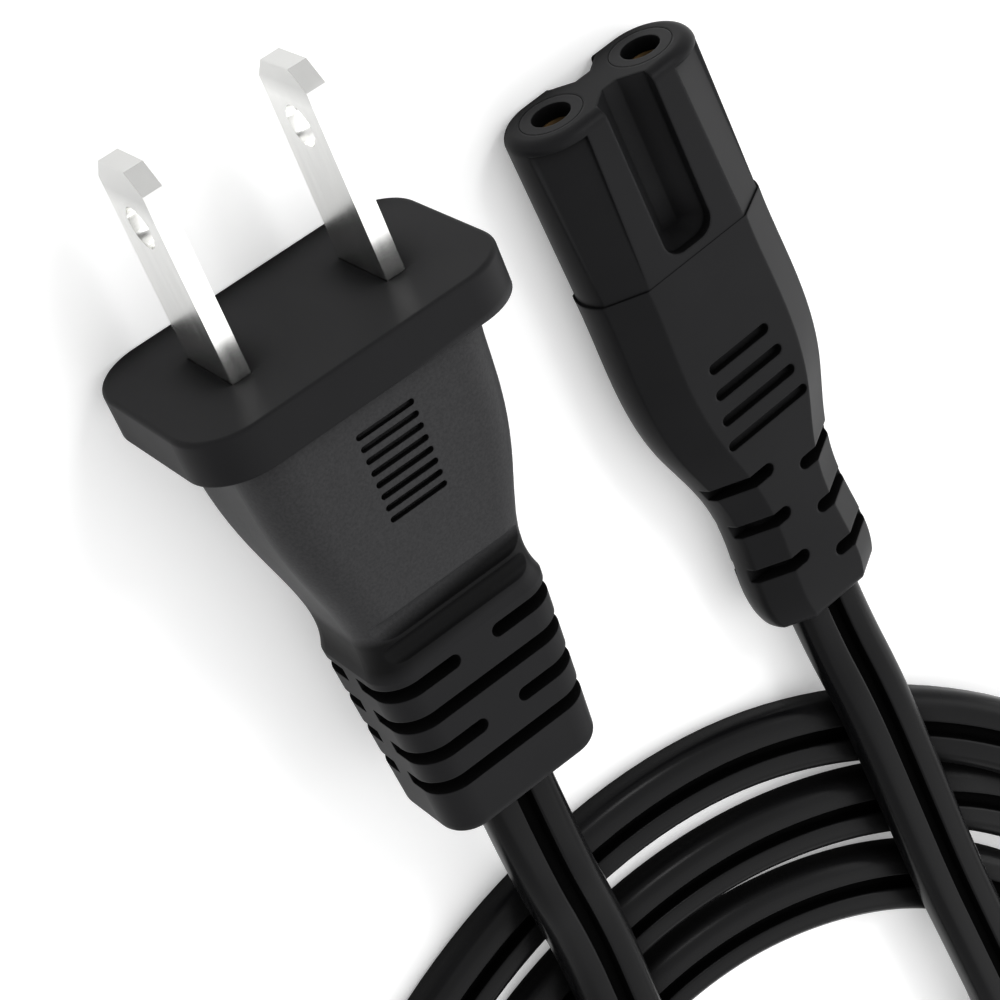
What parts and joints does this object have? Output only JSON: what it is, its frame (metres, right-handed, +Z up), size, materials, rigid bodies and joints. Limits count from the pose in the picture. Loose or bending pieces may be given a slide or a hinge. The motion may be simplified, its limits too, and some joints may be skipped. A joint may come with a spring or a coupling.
{
  "type": "figure eight power cord",
  "caption": "Figure eight appliance connector on a flat twin cord, laid in a loose coil, with a flat two-blade plug at its far end.",
  "frame": {"origin": "under the middle of the connector's own box, on the floor", "axes": "+X from the connector's left socket to its right one, +Y out of its mating face, +Z up"},
  "size_m": [0.1034, 0.1762, 0.0178],
  "materials": {
    "connector_pvc": "satin black flexible moulding",
    "plug_pvc": "fine-grained black flexible moulding",
    "insert_nylon": "satin",
    "contact_bronze": "plain",
    "blade_plating": "bright nickel plating on brass",
    "strand_copper": "bare copper strands",
    "core_pvc": "matt",
    "cord_pvc": "smooth black"
  },
  "bodies": {
    "root": {"connector_overmould": "connector_pvc", "connector_insert": "insert_nylon", "contact_left": "contact_bronze", "contact_right": "contact_bronze", "connector_core_left": "core_pvc", "connector_core_right": "core_pvc", "connector_strands_left": "strand_copper", "connector_strands_right": "strand_copper", "plug_overmould": "plug_pvc", "plug_bridge": "insert_nylon", "blade_left": "blade_plating", "blade_right": "blade_plating", "plug_core_left": "core_pvc", "plug_core_right": "core_pvc", "plug_strands_left": "strand_copper", "plug_strands_right": "strand_copper", "cord_connector_lead": "cord_pvc", "cord_coil": "cord_pvc", "cord_plug_lead": "cord_pvc"}
  },
  "joints": []
}
